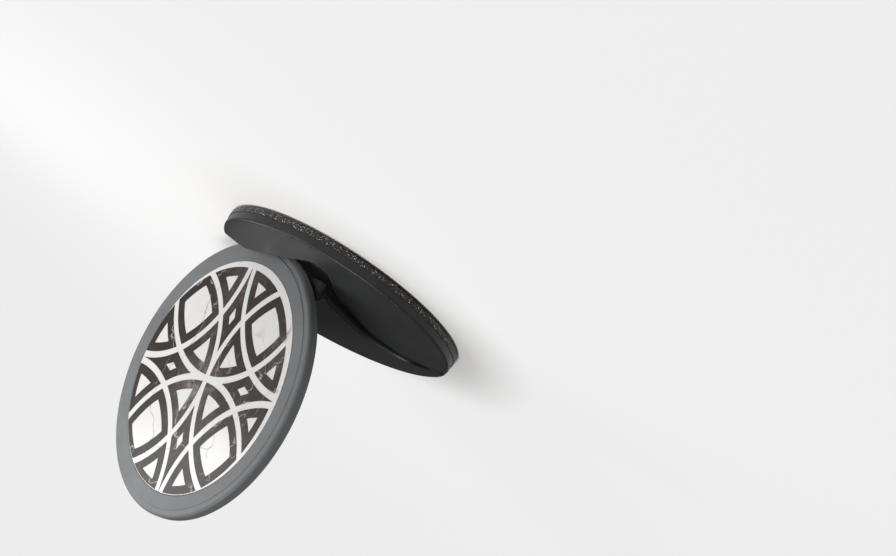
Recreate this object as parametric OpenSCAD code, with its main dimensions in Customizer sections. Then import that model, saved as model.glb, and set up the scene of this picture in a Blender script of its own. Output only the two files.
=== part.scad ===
// Phone grip with a folding stand: rubber base, lifting strap and printed disc.
// Millimetres. The adhesive face is z = 0 and the origin lies on it, inside the pad.
// +X points to the disc end of the base, -Y to the side seen in the photograph and
// +Z away from the phone.
// It is built in the pose of the photograph, strap slightly lifted and disc upright.

/* [Base] */
// Radius of the rubber base plate and of the strap's outer edge
base_r = 19.4; // [19.2:0.1:19.5]
// Width of the pad that stands out beyond the plate
pad_lip = 0.1; // [0:0.05:0.3]
// Thickness of the adhesive pad
pad_t = 0.8; // [0.6:0.1:1.2]
// Setback of the pad from the plate's slit edge
pad_setback = 0.4; // [0.2:0.1:0.8]
// Thickness of the base plate and of the strap
plate_t = 1.4; // [1.2:0.1:1.6]
// Rounding of the upper rim of plate and strap
rim_round = 0.4; // [0.2:0.1:0.6]
// Width of the slit between the plate and the strap
slit_w = 0.6; // [0.5:0.1:0.8]

/* [Strap] */
// Distance of the strap's root fold from the centre
root_x = 18.2; // [18:0.1:18.3]
// Lift of the strap in the photograph, degrees
strap_lift = 4.5; // [3:0.5:6]
// Clearance around the root bead
bead_gap = 0.15; // [0.1:0.05:0.2]

/* [Disc] */
// Radius of the disc
disc_r = 21.3; // [21:0.1:21.5]
// Thickness of the disc
disc_t = 1.9; // [1.7:0.1:2.1]
// Rounding of the disc's front rim
disc_round = 0.5; // [0.4:0.1:0.6]
// Rounding of the disc's back rim
back_round = 0.4; // [0.2:0.1:0.6]
// Radius of the raised face around the inlay
face_r = 20.2; // [19:0.1:20.4]
// Height of the raised face over the rim
face_step = 0.1; // [0.05:0.05:0.15]
// Angle between strap and disc in the photograph, degrees
disc_open = 80.2; // [79:0.1:81]
// Bearing of the disc's face seen from above the base, degrees
disc_az = -34.6; // [-35:0.1:-34]
// Distance from the disc's centre to its fold line
fold_drop = 17.3; // [17.1:0.1:17.6]
// Distance from the fold line to the base's centre
fold_n = 4.7; // [4.4:0.1:4.7]
// Offset of the disc's centre along the fold line
fold_u = 11.1; // [10.8:0.1:11.4]
// Height of the fold line over the phone with the strap flat
fold_z = 0.8; // [0.8:0.05:0.9]
// Distance from the fold line to the disc's back
fold_back = 1.6; // [1.6:0.05:1.7]

/* [Inlay] */
// Radius of the printed inlay plate
inlay_r = 18; // [17.8:0.1:18.2]
// Thickness of the inlay plate
inlay_t = 0.5; // [0.4:0.1:0.6]
// Thickness of the bonding film under the inlay
film_t = 0.1; // [0.1:0.05:0.2]
// Gap around the inlay plate
inlay_gap = 0.08; // [0.05:0.01:0.15]
// Radius of the four circles through the middle of the print
axis_circle_r = 17; // [16.8:0.1:17.2]
// Offset of the four corner circles' centres
corner_off = 18.7; // [18.5:0.1:18.9]
// Radius of the four corner circles
corner_circle_r = 18.2; // [18:0.1:18.4]
// Width of the white bands
band_w = 1.05; // [0.9:0.05:1.2]
// Width of the dark frames
frame_w = 1.4; // [1.2:0.05:1.5]
// Radius of the printed field inside its white ring
ring_r = 17.6; // [17.3:0.1:17.8]
// How far the printed field sits off the disc's centre, to one side and up
ring_off = 0.6; // [0.3:0.1:0.7]
// Height of the pattern's middle above the disc's centre
print_up = 0.4; // [0.2:0.1:0.5]
// Turn of the print on the disc, degrees
print_turn = -1.8; // [-2.5:0.1:0]
// White left at the inlay's edge where the ring runs out
print_inset = 0.1; // [0.05:0.05:0.2]
// Thickness of the printed ink
ink_t = 0.05; // [0.04:0.01:0.1]

/* [Hidden] */
$fn = 96;
top_z = pad_t + plate_t;
mid_z = pad_t + plate_t / 2;
bead_r = plate_t / 2;
// Half the width of cutting shapes that reach past the rim.
past = base_r + 4.6;
// Centre of the round base, seen from an origin that lies on the pad.
base_at = [3, 8, 0];
// Corners of the plate's edge along the slit, left end first, and their roundings.
edge = [[past, 0.9], [15.4, 5.1], [10.95, -1.5], [5.7, -11.2], [3.1, -11.2], [0.3, -3.2],
  [-6.6, 4.7], [-13.2, 5.4], [-17.2, 1.8], [-past, 1.8]];
round_r = [0, 2, 6, 1.3, 1.2, 2, 6, 4, 1.6, 0];
// Step at the plate's root end that the closed disc swings into as the strap lifts:
// its start beyond the hinge, its start across, and its top's depth below the hinge.
step_in = 0.4;
step_y = -0.4;
step_drop = 0.45;
// Largest turn between two points of a rounding, degrees.
arc_step = 9;
// Half the width of the slot that the upright disc stands in.
slot_half = 14.2;
// Fold of the disc: knuckle on the strap, cheeks and pins on the disc.
knuckle_r = 0.75;
knuckle_half = 5.2;
seat_gap = 0.15;
fold_edge = 0.6;
cheek_w = 1.4;
cheek_gap = 0.25;
pin_r = 0.35;
pin_len = 1.2;
pin_gap = 0.06;

function unit(v) = v / norm(v);
// Angle that the outline turns through at corner b between a and c.
function turn(a, b, c) = acos(unit(b - a) * unit(c - b));
// +1 where the plate's corner points outward, -1 where it points inward.
function out(a, b, c) = sign((b[0] - a[0]) * (c[1] - b[1]) - (b[1] - a[1]) * (c[0] - b[0]));
// Point inside the corner at distance d from both of its sides.
function inner(a, b, c, d) = b + unit(unit(a - b) + unit(c - b)) * d / cos(turn(a, b, c) / 2);
// The slit edge moved by d into the slit.
function moved(d) = [for (i = [0:len(edge) - 1])
  i == 0 || i == len(edge) - 1 ? edge[i] + [0, d]
  : inner(edge[i - 1], edge[i], edge[i + 1], -d * out(edge[i - 1], edge[i], edge[i + 1]))];
// Direction part t of the way from v to w, which lie the angle g apart.
function between(v, w, g, t) = (v * sin(g * (1 - t)) + w * sin(g * t)) / sin(g);
// Points on the rounding of radius r at corner b, from the side of a to the side of c.
function rounding(a, b, c, r) =
  let (g = turn(a, b, c), m = inner(a, b, c, r), l = r * tan(g / 2), n = ceil(g / arc_step))
  [for (k = [0:n]) m + between(b + unit(a - b) * l - m, b + unit(c - b) * l - m, g, k / n)];

// Everything on the near side of the slit edge moved by d.
module near_side(d) {
  p = moved(d);
  polygon(concat([p[0]],
    [for (i = [1:len(p) - 2])
      each rounding(p[i - 1], p[i], p[i + 1], round_r[i] + d * out(p[i - 1], p[i], p[i + 1]))],
    [p[len(p) - 1], [-past, -past], [past, -past]]));
}

// Round slab of the plate's thickness with a rounded upper rim.
module rim_slab() {
  translate([0, 0, pad_t]) rotate_extrude() {
    square([base_r - rim_round, plate_t]);
    square([base_r, plate_t - rim_round]);
    translate([base_r - rim_round, plate_t - rim_round]) circle(rim_round);
  }
}

module adhesive_pad() {
  color("#4c4a48") translate(base_at) linear_extrude(pad_t) intersection() {
    circle(base_r + pad_lip);
    union() {
      near_side(-pad_setback);
      translate([-past, -past]) square([past - root_x - bead_r, 2 * past]);
    }
  }
}

module base_plate() {
  color("#3d3e40") translate(base_at) difference() {
    intersection() {
      rim_slab();
      linear_extrude(3 * top_z) union() {
        near_side(0);
        translate([-past, -past]) square([past - root_x, 2 * past]);
      }
    }
    translate([-root_x, edge[9][1] + slit_w / 2, mid_z]) rotate([-90, 0, 0])
      cylinder(r = bead_r + bead_gap, h = 20);
    translate([-past, step_y, mid_z - step_drop]) cube([past - root_x - step_in, past, top_z]);
  }
}

// Moves a shape drawn in the strap's flat position to its lifted position.
module lifted() {
  translate(base_at) translate([-root_x, 0, mid_z]) rotate([0, -strap_lift, 0])
    translate([root_x, 0, -mid_z]) children();
}

// Places a shape on the disc's fold line: x along the fold, y outward from it.
module at_fold() {
  rotate([0, 0, disc_az]) translate([fold_n, fold_u, fold_z]) rotate([0, 0, 90]) children();
}

// A bar on the fold line, centred, running along x.
module fold_bar(r, length) {
  rotate([0, 90, 0]) cylinder(r = r, h = length, center = true);
}

module strap() {
  root_y = edge[9][1] + slit_w;
  notch_w = cheek_w + 2 * cheek_gap;
  color("#46474a") lifted() difference() {
    union() {
      intersection() {
        rim_slab();
        linear_extrude(3 * top_z) difference() {
          translate([-root_x, -past]) square(2 * past);
          near_side(slit_w);
          rotate(disc_az) translate([fold_n + fold_edge, fold_u - slot_half]) square(2 * past);
        }
      }
      intersection() {
        translate([-root_x, root_y, mid_z]) rotate([-90, 0, 0]) cylinder(r = bead_r, h = 20);
        rim_slab();
      }
      at_fold() fold_bar(knuckle_r, 2 * knuckle_half);
    }
    at_fold() fold_bar(pin_r + pin_gap, 2 * knuckle_half + 1);
    for (s = [-1, 1]) at_fold() translate([s * (knuckle_half + notch_w / 2), 0, 0])
      translate([-notch_w / 2, -past, -top_z]) cube([notch_w, past + knuckle_r + seat_gap, 2 * top_z]);
  }
}

// Places a shape drawn on the disc's front face: y away from the fold, z outward.
module on_disc() {
  lifted() at_fold() rotate([disc_open, 0, 0])
    translate([0, fold_drop, fold_back + disc_t]) children();
}

module disc_shell() {
  rim_z = -face_step - disc_round;
  inner_r = disc_r - back_round;
  color("#6b6e71") on_disc() difference() {
    union() {
      rotate_extrude() {
        translate([0, -disc_t]) square([face_r, disc_t]);
        translate([0, -disc_t]) square([inner_r, disc_t + rim_z]);
        translate([0, -disc_t]) square([disc_r - disc_round, disc_t - face_step]);
        translate([0, back_round - disc_t]) square([disc_r, disc_t + rim_z - back_round]);
        translate([disc_r - disc_round, rim_z]) circle(disc_round);
        translate([inner_r, back_round - disc_t]) circle(back_round);
      }
      translate([0, -fold_drop, -fold_back - disc_t]) for (s = [-1, 1])
        translate([s * (knuckle_half + cheek_gap + cheek_w / 2), 0, 0]) {
          fold_bar(knuckle_r, cheek_w);
          translate([-cheek_w / 2, -knuckle_r, 0]) cube([cheek_w, 2 * knuckle_r, fold_back + 0.2]);
        }
    }
    translate([0, 0, -inlay_t - film_t]) cylinder(r = inlay_r + inlay_gap, h = disc_t);
  }
  color("#6b6e71") on_disc() translate([0, -fold_drop, -fold_back - disc_t]) for (s = [-1, 1])
    translate([s * (knuckle_half + cheek_gap - pin_len / 2), 0, 0]) fold_bar(pin_r, pin_len + 0.4);
}

module inlay_film() {
  color("#d9d9d4") on_disc() translate([0, 0, -inlay_t - film_t]) cylinder(r = inlay_r - 0.3, h = film_t);
}

module inlay_plate() {
  color("#f4f3f1") on_disc() translate([0, 0, -inlay_t]) cylinder(r = inlay_r, h = inlay_t);
}

// A circular band of the given width.
module band(r, w) {
  difference() {
    circle(r + w / 2);
    circle(r - w / 2);
  }
}

// The fields that the eight circles leave inside the ring, drawn in by d.
module fields(d) {
  difference() {
    translate([ring_off, ring_off]) circle(ring_r - d);
    translate([0, print_up]) rotate(print_turn) for (a = [0:90:270]) rotate(a) {
      translate([axis_circle_r, 0]) band(axis_circle_r, band_w + 2 * d);
      translate([corner_off, corner_off]) band(corner_circle_r, band_w + 2 * d);
    }
  }
}

module printed_pattern() {
  color("#4a3a33") on_disc() linear_extrude(ink_t) intersection() {
    circle(inlay_r - print_inset);
    difference() {
      fields(0);
      fields(frame_w);
    }
  }
}

adhesive_pad();
base_plate();
strap();
disc_shell();
inlay_film();
inlay_plate();
printed_pattern();
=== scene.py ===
# Phone grip: a stick-on rubber base, a strap that lifts from it and a printed disc folded up as
# a stand.
import math
import bmesh
import bpy
from mathutils import Matrix, Vector


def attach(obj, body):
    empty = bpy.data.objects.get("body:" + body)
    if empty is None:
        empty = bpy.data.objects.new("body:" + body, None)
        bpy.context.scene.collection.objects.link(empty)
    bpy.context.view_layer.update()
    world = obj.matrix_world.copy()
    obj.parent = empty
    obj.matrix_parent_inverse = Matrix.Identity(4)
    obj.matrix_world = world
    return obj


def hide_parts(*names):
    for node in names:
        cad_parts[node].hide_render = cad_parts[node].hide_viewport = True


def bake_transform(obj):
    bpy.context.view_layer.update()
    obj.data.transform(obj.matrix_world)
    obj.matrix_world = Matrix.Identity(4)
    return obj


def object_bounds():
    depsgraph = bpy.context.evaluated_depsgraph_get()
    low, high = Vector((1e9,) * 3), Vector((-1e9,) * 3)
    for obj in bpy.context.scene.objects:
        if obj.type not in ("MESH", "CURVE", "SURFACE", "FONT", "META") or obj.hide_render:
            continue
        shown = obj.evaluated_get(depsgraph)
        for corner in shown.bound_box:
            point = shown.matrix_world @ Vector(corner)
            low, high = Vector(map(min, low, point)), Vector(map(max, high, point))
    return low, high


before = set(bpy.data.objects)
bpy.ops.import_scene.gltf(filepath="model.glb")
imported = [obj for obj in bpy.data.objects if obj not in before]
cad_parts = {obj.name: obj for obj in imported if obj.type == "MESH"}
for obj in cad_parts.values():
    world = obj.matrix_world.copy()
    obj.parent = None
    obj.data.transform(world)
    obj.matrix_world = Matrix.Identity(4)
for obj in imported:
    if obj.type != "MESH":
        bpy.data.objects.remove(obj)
cad_low, cad_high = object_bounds()

MM = 0.001

# Real sizes in millimetres, in the grip's own frame.
BASE_AT = (3.0, 8.0)        # centre of the round base
PAD_T = 0.8                 # thickness of the adhesive pad
PLATE_T = 1.4               # thickness of the rubber plate and strap
ROOT_X = 18.2               # hinge line of the strap, from the base's centre
STRAP_LIFT = 4.5            # degrees that the strap is lifted at rest
SLIT_FROM_X = -14.0         # the slit's edges are rounded from here on, clear of the root
SLIT_REACH = 18.9           # and out to here from the base's centre, clear of the rim's round
PLATE_SOFT = 0.3            # rounding of the plate's edge along the slit
STRAP_SOFT = 0.6            # rounding of the strap's edge along the slit

DISC_R = 21.3
DISC_T = 1.9
DISC_ROUND = 0.5            # rounding of the rim towards the face
BACK_ROUND = 0.4            # rounding of the rim towards the back
FACE_R = 20.2               # where the rim's flat ring ends
FACE_STEP = 0.1             # height of that ring over the rim outside it
INLAY_R = 18.0
INLAY_GAP = 0.08            # play between the inlay and its recess
INLAY_T = 0.5
FILM_T = 0.1
STAND_ANGLE = 80.2          # degrees between strap and disc at rest

FOLD_AZ = -34.6             # direction across the fold, seen from the base's centre
FOLD_N = 4.7                # the fold's distance from the base's centre, across it
FOLD_U = 11.1               # the fold's middle, along it
FOLD_EDGE = 0.95            # from the fold to the edge of the strap proper, where the web begins
FOLD_DROP = 17.3            # from the disc's centre down to its fold
FOLD_BACK = 1.6             # from the fold to the disc's back


# ---- tools for shapes ----

def disc_place():
    """Place of the disc: x along its fold, y up the disc, z out of its printed face."""
    lift = (Matrix.Translation(Vector((BASE_AT[0], BASE_AT[1], 0)))
            @ Matrix.Translation(Vector((-ROOT_X, 0, PAD_T + PLATE_T / 2)))
            @ Matrix.Rotation(math.radians(-STRAP_LIFT), 4, 'Y')
            @ Matrix.Translation(Vector((ROOT_X, 0, -PAD_T - PLATE_T / 2))))
    fold = (Matrix.Rotation(math.radians(FOLD_AZ), 4, 'Z')
            @ Matrix.Translation(Vector((FOLD_N, FOLD_U, PAD_T)))
            @ Matrix.Rotation(math.radians(90), 4, 'Z'))
    stand = (Matrix.Rotation(math.radians(STAND_ANGLE), 4, 'X')
             @ Matrix.Translation(Vector((0, FOLD_DROP, FOLD_BACK + DISC_T))))
    return Matrix.Scale(MM, 4) @ lift @ fold @ stand


ON_DISC = disc_place()
BASE_CENTRE = Vector((BASE_AT[0], BASE_AT[1], 0)) * MM


def piece(bm, name, material, body, smooth=35):
    """A finished piece from a bmesh in metres: closed, normals outward, riding on its body."""
    bmesh.ops.remove_doubles(bm, verts=bm.verts, dist=1e-7)
    bmesh.ops.recalc_face_normals(bm, faces=bm.faces)
    mesh = bpy.data.meshes.new(name)
    bm.to_mesh(mesh)
    bm.free()
    mesh.materials.append(material)
    obj = bpy.data.objects.new(name, mesh)
    bpy.context.scene.collection.objects.link(obj)
    mesh.shade_smooth()
    if smooth:
        mesh.set_sharp_from_angle(angle=math.radians(smooth))
    if body:
        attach(obj, body)
    return obj


def shade_evenly(obj):
    """Leaves the shading of large flat faces undisturbed by the small rounds beside them."""
    weigh = obj.modifiers.new("even_shading", 'WEIGHTED_NORMAL')
    weigh.keep_sharp = True


def turned(profile, steps=192):
    """A lathed form: profile points (radius, height) in mm, spun round the z axis."""
    bm = bmesh.new()
    verts = [bm.verts.new((r, 0, z)) for r, z in profile]
    edges = [bm.edges.new(pair) for pair in zip(verts, verts[1:])]
    bmesh.ops.spin(bm, geom=verts + edges, cent=(0, 0, 0), axis=(0, 0, 1), angle=math.tau,
                   steps=steps, use_merge=True)
    bmesh.ops.remove_doubles(bm, verts=bm.verts, dist=1e-4)
    return bm


# ---- tools for finishes ----

def linear(code):
    """An sRGB hex colour as linear RGBA."""
    parts = [int(code[i:i + 2], 16) / 255 for i in (1, 3, 5)]
    return [c / 12.92 if c <= 0.04045 else ((c + 0.055) / 1.055) ** 2.4 for c in parts] + [1]


def add(tree, kind, settings=None, **links):
    """Adds a node with its settings. A link's value is a socket, a colour, a number or a vector;
    iN names the input by its number."""
    node = tree.nodes.new(kind)
    for key, value in (settings or {}).items():
        setattr(node, key, value)
    for key, value in links.items():
        numbered = key[0] == "i" and key[1:].isdigit()
        socket = node.inputs[int(key[1:]) if numbered else key.replace("_", " ")]
        if isinstance(value, bpy.types.NodeSocket):
            tree.links.new(value, socket)
        else:
            socket.default_value = value
    return node


def ramp(tree, value, stops):
    """A colour ramp through (position, hex colour) stops."""
    node = add(tree, "ShaderNodeValToRGB", Fac=value)
    marks = node.color_ramp.elements
    while len(marks) < len(stops):
        marks.new(0.5)
    for mark, (at, code) in zip(marks, stops):
        mark.position = at
        mark.color = linear(code)
    return node.outputs["Color"]


def finish(name, **sockets):
    """A new material with one Principled shader; uniform values go on the shader's own sockets."""
    material = bpy.data.materials.new(name)
    material.use_nodes = True
    tree = material.node_tree
    tree.nodes.clear()
    shader = add(tree, "ShaderNodeBsdfPrincipled", **sockets)
    out = add(tree, "ShaderNodeOutputMaterial", Surface=shader.outputs[0])
    where = add(tree, "ShaderNodeTexCoord").outputs["Object"]
    return material, tree, shader, where


def moulded_rubber(name, dark, light, rough, level):
    """Silicone-like rubber moulded in a fine-blasted tool: matt, evenly coloured, with a grain that
    breaks the sheen, drawn at 0.3 mm, coarser than the real one so that it shows, and a faint
    cloudy variation some millimetres wide."""
    material, tree, shader, where = finish(name, Specular_IOR_Level=level, IOR=1.45)
    cloud = add(tree, "ShaderNodeTexNoise", Vector=where, Scale=1 / (5 * MM), Detail=3.0)
    grain = add(tree, "ShaderNodeTexNoise", Vector=where, Scale=1 / (0.3 * MM), Detail=2.0)
    mixed = add(tree, "ShaderNodeMix", {"data_type": 'FLOAT'}, i0=0.45, i2=cloud.outputs[0],
                i3=grain.outputs[0])
    colour = ramp(tree, mixed.outputs[0], [(0.34, dark), (0.66, light)])
    tree.links.new(colour, shader.inputs["Base Color"])
    roughness = add(tree, "ShaderNodeMapRange", Value=grain.outputs[0], To_Min=rough - 0.08,
                    To_Max=rough + 0.08)
    tree.links.new(roughness.outputs[0], shader.inputs["Roughness"])
    bump = add(tree, "ShaderNodeBump", Height=grain.outputs[0], Strength=0.25, Distance=0.03 * MM)
    tree.links.new(bump.outputs[0], shader.inputs["Normal"])
    return material


def gel_adhesive():
    """Micro-suction gel pad, die cut: near black and slightly clear, its cut edge rough, with
    bright specks painted into its colour as glints where torn cells catch the light, drawn 0.16 mm
    wide so that they show."""
    material, tree, shader, where = finish("die cut gel adhesive", Roughness=0.45,
                                           Specular_IOR_Level=0.3)
    grain_and_glint = add(tree, "ShaderNodeTexNoise", Vector=where, Scale=1 / (0.16 * MM), Detail=1.5,
                Roughness=0.4)
    # the ramp's top stops paint the specks near white: painted glints
    colour = ramp(tree, grain_and_glint.outputs[0], [(0.35, "#1d1c1b"), (0.60, "#35332f"), (0.66, "#5b5854"),
                                           (0.70, "#e6e3df")])
    tree.links.new(colour, shader.inputs["Base Color"])
    bump = add(tree, "ShaderNodeBump", Height=grain_and_glint.outputs[0], Strength=0.7, Distance=0.12 * MM)
    tree.links.new(bump.outputs[0], shader.inputs["Normal"])
    return material


def veined(tree, where, spacing, thin, patch_size):
    """1 on fine crooked veins, 0 between them: where a cloudy field crosses its middle value,
    shown only in patches."""
    field = add(tree, "ShaderNodeTexNoise", Vector=where, Scale=1 / (spacing * MM), Detail=4.0,
                Roughness=0.5, Distortion=0.25)
    off = add(tree, "ShaderNodeMath", {"operation": 'SUBTRACT'}, i0=field.outputs[0], i1=0.5)
    near = add(tree, "ShaderNodeMath", {"operation": 'ABSOLUTE'}, i0=off.outputs[0])
    line = add(tree, "ShaderNodeMapRange", Value=near.outputs[0], From_Min=0.0, From_Max=thin,
               To_Min=1.0, To_Max=0.0)
    patch = add(tree, "ShaderNodeTexNoise", Vector=where, Scale=1 / (patch_size * MM), Detail=2.0)
    gate = add(tree, "ShaderNodeMapRange", Value=patch.outputs[0], From_Min=0.42, From_Max=0.56)
    return add(tree, "ShaderNodeMath", {"operation": 'MULTIPLY'}, i0=line.outputs[0],
               i1=gate.outputs[0]).outputs[0]


def marble_print():
    """White marble print under a clear coat: paper white with faint grey crooked veins some 8 mm
    apart and pale grey clouds beside them."""
    material, tree, shader, where = finish("white marble print", Roughness=0.35, Coat_Weight=0.4,
                                           Coat_Roughness=0.15, Specular_IOR_Level=0.4)
    vein = veined(tree, where, 15, 0.010, 9)
    colour = ramp(tree, vein, [(0.0, "#c8c7c6"), (0.5, "#b8b7b7"), (1.0, "#838287")])
    tree.links.new(colour, shader.inputs["Base Color"])
    return material


def brown_print():
    """Dark brown marbled ink under the same clear coat: espresso, with greyer cloudy patches some
    15 mm wide, a speckle of about 0.5 mm and a few pale hair-thin veins."""
    material, tree, shader, where = finish("brown marbled print", Roughness=0.5, Coat_Weight=0.1,
                                           Coat_Roughness=0.2, Specular_IOR_Level=0.3)
    wide = add(tree, "ShaderNodeTexNoise", Vector=where, Scale=1 / (14 * MM), Detail=3.0)
    fine = add(tree, "ShaderNodeTexNoise", Vector=where, Scale=1 / (1.2 * MM), Detail=5.0,
               Roughness=0.75)
    mixed = add(tree, "ShaderNodeMix", {"data_type": 'FLOAT'}, i0=0.36, i2=wide.outputs[0],
                i3=fine.outputs[0])
    body = ramp(tree, mixed.outputs[0], [(0.38, "#1b130e"), (0.48, "#281e18"), (0.56, "#3f352f"),
                                         (0.64, "#77706b")])
    vein = veined(tree, where, 9, 0.007, 6)
    colour = add(tree, "ShaderNodeMix", {"data_type": 'RGBA'}, i0=vein, i6=body,
                 i7=linear("#a39b96"))
    tree.links.new(colour.outputs[2], shader.inputs["Base Color"])
    return material


def bonding_film():
    """Clear double-sided film between inlay and rubber; only its edge shows, milky."""
    material, tree, shader, where = finish("clear bonding film", Roughness=0.3)
    haze = add(tree, "ShaderNodeTexNoise", Vector=where, Scale=1 / (2 * MM), Detail=2.0)
    tree.links.new(ramp(tree, haze.outputs[0], [(0.3, "#c4c3be"), (0.7, "#dcdbd6")]),
                   shader.inputs["Base Color"])
    return material


charcoal_rubber = moulded_rubber("moulded charcoal rubber", "#1c1d1e", "#272828", 0.42, 0.42)
grey_rubber = moulded_rubber("satin grey rubber rim", "#5e6061", "#6a6c6d", 0.5, 0.3)
gel = gel_adhesive()
marble = marble_print()
ink = brown_print()
film = bonding_film()

for node, material in (("adhesive_pad", gel), ("base_plate", charcoal_rubber),
                       ("strap", charcoal_rubber), ("disc_shell", grey_rubber),
                       ("inlay_film", film), ("inlay_plate", marble), ("printed_pattern", ink)):
    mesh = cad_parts[node].data
    mesh.materials.clear()
    mesh.materials.append(material)


# ---- rubber base and strap ----

def lifted():
    """Place of the strap at rest: turned up a little about its root."""
    root = Matrix.Translation(Vector((BASE_AT[0] - ROOT_X, BASE_AT[1], PAD_T + PLATE_T / 2)) * MM)
    return root @ Matrix.Rotation(math.radians(-STRAP_LIFT), 4, 'Y') @ root.inverted()


def across_fold():
    """Direction from the strap across the disc's fold, level with the base."""
    turn = math.radians(FOLD_AZ)
    return Vector((math.cos(turn), math.sin(turn), 0))


def softened(node, name, body, place, width, end=None):
    """The node's own form, with its top edges along the slit rounded as the mould leaves them and,
    given an end, cut off there square to the fold."""
    bm = bmesh.new()
    bm.from_mesh(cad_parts[node].data)
    bmesh.ops.remove_doubles(bm, verts=bm.verts, dist=1e-6)
    bmesh.ops.dissolve_limit(bm, angle_limit=math.radians(0.1), verts=bm.verts, edges=bm.edges)
    if end is not None:
        cut = bmesh.ops.bisect_plane(bm, geom=bm.verts[:] + bm.edges[:] + bm.faces[:], dist=1e-7,
                                     plane_co=BASE_CENTRE + across_fold() * end,
                                     plane_no=across_fold(), clear_outer=True)
        bmesh.ops.holes_fill(bm, edges=[e for e in cut["geom_cut"]
                                        if isinstance(e, bmesh.types.BMEdge)], sides=0)
        bmesh.ops.remove_doubles(bm, verts=bm.verts, dist=1e-6)
    back = place.inverted()
    top = (PAD_T + PLATE_T - 0.02) * MM

    def on_slit(edge):
        ends = [back @ v.co for v in edge.verts]
        if len(edge.link_faces) != 2 or edge.calc_face_angle(0) < math.radians(50):
            return False
        if any(p.z < top or p.x < SLIT_FROM_X * MM
               or (p - BASE_CENTRE).xy.length > SLIT_REACH * MM for p in ends):
            return False
        on_cut = end is not None and all((p - BASE_CENTRE).dot(across_fold()) > end - 0.1 * MM
                                         for p in ends)
        return not on_cut

    edges = [e for e in bm.edges if on_slit(e)]
    bmesh.ops.bevel(bm, geom=edges, offset=width * MM, segments=5, profile=0.5, affect='EDGES',
                    clamp_overlap=False, material=-1)
    obj = piece(bm, name, charcoal_rubber, body)
    shade_evenly(obj)
    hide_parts(node)


softened("base_plate", "base_rubber", "base", Matrix.Identity(4), PLATE_SOFT)
softened("strap", "strap_rubber", "strap", lifted(), STRAP_SOFT, end=(FOLD_N - FOLD_EDGE) * MM)


# ---- disc ----

def arc(cx, cz, r, start, end, steps):
    """Points on a rounding, from start to end degrees."""
    return [(cx + r * math.cos(math.radians(start + (end - start) * k / steps)),
             cz + r * math.sin(math.radians(start + (end - start) * k / steps)))
            for k in range(steps + 1)]


def disc_rubber():
    """The disc's rubber shell: rounded rim, a faint step round its face and the inlay's recess."""
    recess = INLAY_R + INLAY_GAP
    profile = [(0, -INLAY_T - FILM_T), (recess, -INLAY_T - FILM_T)]
    profile += arc(recess + 0.08, -0.08, 0.08, 180, 90, 3)
    profile += arc(FACE_R - 0.1, -0.1, 0.1, 90, 10, 4) + [(FACE_R + 0.05, -FACE_STEP)]
    profile += arc(DISC_R - DISC_ROUND, -FACE_STEP - DISC_ROUND, DISC_ROUND, 90, 0, 10)
    profile += arc(DISC_R - BACK_ROUND, BACK_ROUND - DISC_T, BACK_ROUND, 0, -90, 8)
    profile += [(0, -DISC_T)]
    bm = turned(profile)
    bmesh.ops.transform(bm, matrix=ON_DISC, verts=bm.verts)
    obj = piece(bm, "disc_rubber", grey_rubber, "disc", smooth=40)
    shade_evenly(obj)
    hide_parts("disc_shell")


disc_rubber()


# ---- folds in the one-piece rubber ----

def at_fold():
    """Place of the disc's fold: x along it, y towards the strap, z up."""
    return (lifted() @ Matrix.Translation(BASE_CENTRE)
            @ Matrix.Rotation(math.radians(FOLD_AZ), 4, 'Z')
            @ Matrix.Translation(Vector((FOLD_N, FOLD_U, PAD_T)) * MM)
            @ Matrix.Rotation(math.radians(90), 4, 'Z') @ Matrix.Scale(MM, 4))


def disc_fold():
    """The soft web where disc and strap are one rubber: it turns up from the strap's edge into the
    disc's back, built in its rest shape and not made to bend as the disc folds."""
    fillet = [(2.6, 1.38), (1.5, 1.43), (0.6, 1.60), (-0.2, 1.95), (-0.8, 2.50), (-1.25, 3.20),
              (-1.66, 4.20)]
    under = [(-1.66, -0.62), (-1.2, -0.60), (-0.5, -0.42), (0.3, -0.12), (1.2, 0.0), (2.6, 0.02)]
    near, far, steps = 14.0, 7.5, 40      # the web's reach to both sides, and its rings
    slant = 0.73                          # of the strap's slit edge, which the near end follows
    inside, deck = 2.2, 1.38              # where the web runs into the strap, and the strap's top
    bm = bmesh.new()
    bm.faces.new([bm.verts.new((-near, y, z)) for y, z in fillet + under])
    out = bmesh.ops.extrude_face_region(bm, geom=bm.faces[:])
    bmesh.ops.translate(bm, verts=[v for v in out["geom"] if isinstance(v, bmesh.types.BMVert)],
                        vec=(near + far, 0, 0))
    for k in range(1, steps):
        bmesh.ops.bisect_plane(bm, geom=bm.verts[:] + bm.edges[:] + bm.faces[:], dist=1e-5,
                               plane_co=(-near + (near + far) * k / steps, 0, 0),
                               plane_no=(1, 0, 0))
    for v in bm.verts:
        t = -v.co.x / near if v.co.x < 0 else v.co.x / far
        full = math.sqrt(max(0.0, 1 - t ** 4))
        v.co.y = inside + (v.co.y - inside) * (0.34 + 0.66 * full)
        if v.co.z > deck:
            v.co.z = deck + (v.co.z - deck) * full
        elif v.co.z < 0:
            v.co.z *= full
        if v.co.x < -near / 2:
            v.co.x += slant * (v.co.y - FOLD_EDGE) * (-v.co.x / near - 0.5) * 2
    cap = min(bm.faces, key=lambda f: f.calc_center_median().x)
    bmesh.ops.bevel(bm, geom=[e for e in cap.edges if sum(v.co.z for v in e.verts) > 2.6],
                    offset=0.5, segments=4, profile=0.5, affect='EDGES', clamp_overlap=True,
                    material=-1)
    bmesh.ops.transform(bm, matrix=at_fold(), verts=bm.verts)
    obj = piece(bm, "disc_fold", charcoal_rubber, None, smooth=50)
    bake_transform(obj)


disc_fold()


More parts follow.
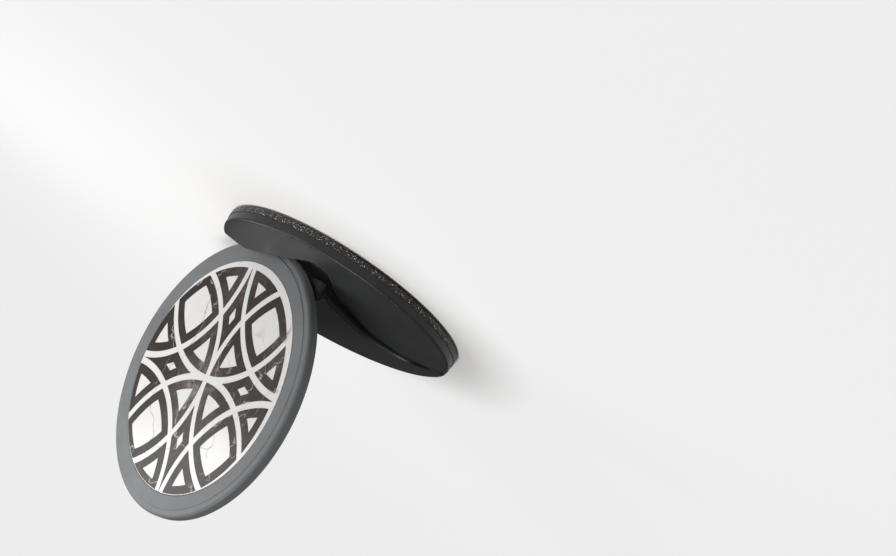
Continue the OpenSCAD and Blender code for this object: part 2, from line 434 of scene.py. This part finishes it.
def root_fold():
    """The strap's root, where strap and base are one rubber: the rim runs on across the slit."""
    inner, outer, low, high, rounding = 17.3, 19.42, 0.86, 2.23, 0.4
    first, sweep = 177.2, -11.5           # degrees round the base's centre
    profile = ([(inner, low), (outer, low)]
               + arc(outer - rounding, high - rounding, rounding, 0, 90, 6) + [(inner, high)])
    bm = bmesh.new()
    turn = Matrix.Rotation(math.radians(first), 4, 'Z')
    face = bm.faces.new([bm.verts.new(turn @ Vector((r, 0, z))) for r, z in profile])
    bmesh.ops.spin(bm, geom=[face], cent=(0, 0, 0), axis=(0, 0, 1), angle=math.radians(sweep),
                   steps=18)
    bmesh.ops.translate(bm, verts=bm.verts, vec=(BASE_AT[0], BASE_AT[1], 0))
    bmesh.ops.scale(bm, verts=bm.verts, vec=(MM, MM, MM))
    obj = piece(bm, "root_fold", charcoal_rubber, None, smooth=50)
    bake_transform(obj)


root_fold()


# ---- studio ----

def looked_at(tree):
    """1 for rays from the camera and for what is seen in a sheen or through clear film."""
    ray = add(tree, "ShaderNodeLightPath")
    seen = ray.outputs["Is Camera Ray"]
    for also in ("Is Glossy Ray", "Is Transmission Ray"):
        seen = add(tree, "ShaderNodeMath", {"operation": 'MAXIMUM'}, i0=seen,
                   i1=ray.outputs[also]).outputs[0]
    return seen


def floor():
    """Pale floor under the pad. It keeps the grip's shadow, and away from the grip the eye also
    sees it shine a little, as a lit studio sweep does. The shine fades out towards the grip, so the
    floor round the pad and seen through the slit is painted darker: painted shade on top of the
    real shadow."""
    floor_finish, tree, shader, where = finish("pale studio floor", Roughness=0.9,
                                               Specular_IOR_Level=0.1)
    mottle = add(tree, "ShaderNodeTexNoise", Vector=where, Scale=1 / (300 * MM))
    tree.links.new(ramp(tree, mottle.outputs[0], [(0.3, "#dddcdb"), (0.7, "#e0dfde")]),
                   shader.inputs["Base Color"])
    off = add(tree, "ShaderNodeVectorMath", {"operation": 'DISTANCE'}, i0=where,
              i1=(BASE_AT[0] * MM, BASE_AT[1] * MM, cad_low.z))
    # glow weight from none at 19 mm to 0.70 at 34 mm from the base's centre: painted shade round
    # the grip
    clear = add(tree, "ShaderNodeMapRange", {"interpolation_type": 'SMOOTHSTEP'},
                Value=off.outputs["Value"], From_Min=19 * MM, From_Max=34 * MM, To_Max=0.70)
    seen = add(tree, "ShaderNodeMath", {"operation": 'MULTIPLY'}, i0=looked_at(tree),
               i1=clear.outputs[0])
    glow = add(tree, "ShaderNodeEmission", Color=(0.95, 0.95, 0.95, 1), Strength=1.0)
    mixed = add(tree, "ShaderNodeMixShader", i0=seen.outputs[0], i1=shader.outputs[0],
                i2=glow.outputs[0])
    out = next(n for n in tree.nodes if n.type == 'OUTPUT_MATERIAL')
    tree.links.new(mixed.outputs[0], out.inputs["Surface"])
    bm = bmesh.new()
    bmesh.ops.create_grid(bm, x_segments=2, y_segments=2, size=40.0)
    bmesh.ops.translate(bm, verts=bm.verts, vec=(0, 0, cad_low.z - 0.02 * MM))
    mesh = bpy.data.meshes.new("studio_floor")
    bm.to_mesh(mesh)
    bm.free()
    mesh.materials.append(floor_finish)
    obj = bpy.data.objects.new("studio_floor", mesh)
    bpy.context.scene.collection.objects.link(obj)


def surroundings():
    """Soft light from all round, weaker from the far side."""
    world = bpy.data.worlds.new("studio")
    bpy.context.scene.world = world
    world.use_nodes = True
    tree = world.node_tree
    tree.nodes.clear()
    way = add(tree, "ShaderNodeSeparateXYZ",
              Vector=add(tree, "ShaderNodeTexCoord").outputs["Generated"])
    level = add(tree, "ShaderNodeMapRange", {"interpolation_type": 'SMOOTHSTEP'},
                Value=way.outputs["Y"], From_Min=-0.2, From_Max=0.9, To_Min=0.24, To_Max=0.10)
    soft = add(tree, "ShaderNodeBackground", Color=(1, 1, 1, 1), Strength=level.outputs[0])
    add(tree, "ShaderNodeOutputWorld", Surface=soft.outputs[0])


def lamp(name, kind, at, towards, strength):
    """A lamp aimed from one place towards another, in metres."""
    data = bpy.data.lights.new(name, kind)
    data.energy = strength
    obj = bpy.data.objects.new(name, data)
    obj.location = at
    obj.rotation_euler = (Vector(towards) - Vector(at)).to_track_quat('-Z', 'Y').to_euler()
    bpy.context.scene.collection.objects.link(obj)
    return data


def lights():
    """Broad light from the disc's side, a softer one from above, and a small panel near the disc's
    free edge that lets its light fall off across the disc."""
    lamp("key", 'SUN', (0.84, -0.50, 0.30), (0, 0, 0), 1.10).angle = math.radians(28)
    lamp("soft_top", 'SUN', (0.10, -0.25, 1.0), (0, 0, 0), 1.8).angle = math.radians(20)
    panel = lamp("side_panel", 'AREA', (0.066, 0.030, 0.058), (0.012, 0.012, 0.015), 0.030)
    panel.shape = 'DISK'
    panel.size = 0.05


def camera():
    """The photograph's viewpoint: a long lens 24 cm away, rolled until the adhesive face is up."""
    data = bpy.data.cameras.new("photo_view")
    data.sensor_width = 36.0
    data.lens = 70.67
    data.clip_start, data.clip_end = 0.01, 100
    obj = bpy.data.objects.new("photo_view", data)
    obj.location = (0.002998, -0.240937, 0.060671)
    obj.rotation_euler = [math.radians(a) for a in (-71.1654, 32.0048, -167.0107)]
    bpy.context.scene.collection.objects.link(obj)
    bpy.context.scene.camera = obj


floor()
surroundings()
lights()
camera()
bpy.context.scene.view_settings.view_transform = 'Standard'
